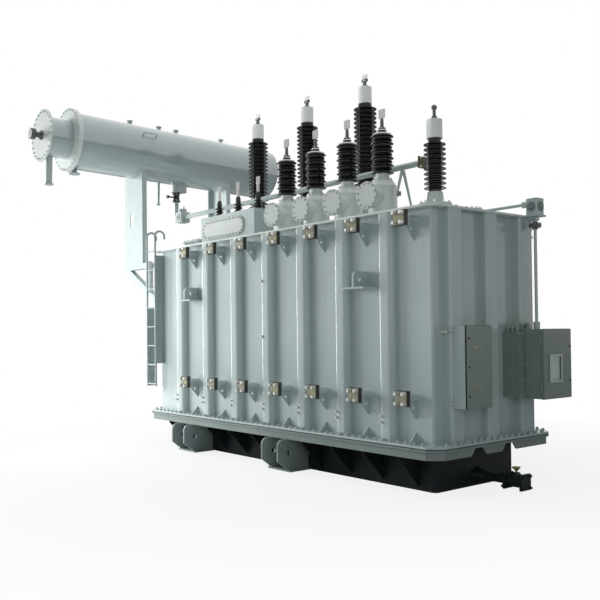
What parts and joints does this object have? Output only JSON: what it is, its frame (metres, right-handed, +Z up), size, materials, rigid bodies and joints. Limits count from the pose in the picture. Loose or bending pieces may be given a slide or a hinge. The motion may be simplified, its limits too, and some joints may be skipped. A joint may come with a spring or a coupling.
{
  "type": "power transformer",
  "caption": "Oil-immersed power transformer with ribbed bell tank, shedded bushings, conservator, tap-changer drive and hinged cabinets, radiators removed.",
  "frame": {"origin": "on the ground under the middle of the tank", "axes": "+X along the tank to the cabinet end, +Y to the high-voltage side, +Z up"},
  "size_m": [7.975, 4.8611, 5.6568],
  "materials": {
    "grey_enamel": "light grey-green gloss enamel",
    "base_paint": "near-black paint",
    "beam_paint": "dark green-grey paint",
    "valve_iron": "dark oiled casting",
    "blank_zinc": "brown-gold passivated steel",
    "pale_enamel": "pale grey enamel",
    "porcelain": "black glazed porcelain",
    "terminal_metal": "bright terminal metal",
    "window_glass": "clear pane",
    "gauge_dark": "dark gauge case",
    "valve_brass": "dull brass casting"
  },
  "bodies": {
    "transformer": {"base_trough": "base_paint", "base_flange": "grey_enamel", "base_gussets": "base_paint", "cross_beams": "beam_paint", "beam_pads": "beam_paint", "bell_flange": "grey_enamel", "tank_body": "grey_enamel", "side_ribs": "grey_enamel", "end_ribs": "grey_enamel", "foot_gussets": "grey_enamel", "lifting_lugs": "grey_enamel", "tank_cover": "grey_enamel", "radiator_stubs": "grey_enamel", "radiator_valves": "valve_iron", "blanking_plates": "blank_zinc", "mv_turrets": "grey_enamel", "mv_handhole_covers": "pale_enamel", "mv_porcelains": "porcelain", "mv_terminals": "terminal_metal", "lv_box": "grey_enamel", "lv_box_cover": "pale_enamel", "lv_porcelains": "porcelain", "lv_terminals": "terminal_metal", "cover_hatch": "grey_enamel", "hv_turrets": "grey_enamel", "hv_porcelains": "porcelain", "hv_caps": "pale_enamel", "neutral_turret": "grey_enamel", "neutral_porcelain": "porcelain", "neutral_cap": "pale_enamel", "tap_changer_head": "grey_enamel", "gear_shelf": "grey_enamel", "gear_box": "grey_enamel", "drive_shafts": "grey_enamel", "cable_box": "grey_enamel", "drive_cabinet": "grey_enamel", "control_cabinet": "grey_enamel", "conservator_shell": "grey_enamel", "conservator_front_end": "grey_enamel", "conservator_neck": "grey_enamel", "conservator_disc": "grey_enamel", "level_gauge": "gauge_dark", "conservator_rear_end": "grey_enamel", "wall_brackets": "grey_enamel", "conservator_posts": "grey_enamel", "conservator_fittings": "grey_enamel", "breather": "pale_enamel", "pipe_valve": "valve_iron", "main_oil_pipe": "grey_enamel", "pipe_blind_flange": "blank_zinc", "gas_relay": "grey_enamel", "pipe_supports": "grey_enamel", "ladder": "grey_enamel", "drain_pipe": "grey_enamel", "drain_valve": "grey_enamel", "drain_handle": "valve_brass"},
    "drive_leaf": {"drive_door": "grey_enamel", "drive_window": "window_glass"},
    "control_leaf": {"control_door": "grey_enamel"}
  },
  "joints": [
    {"name": "drive_door_hinge", "type": "hinge", "parent": "transformer", "child": "drive_leaf", "pos_m": [3.4325, 0.401, 1.4345], "axis": [0, 0, -1], "range_deg": [0, 110]},
    {"name": "control_door_hinge", "type": "hinge", "parent": "transformer", "child": "control_leaf", "pos_m": [3.2425, -0.296, 1.435], "axis": [0, 0, 1], "range_deg": [0, 110]}
  ]
}
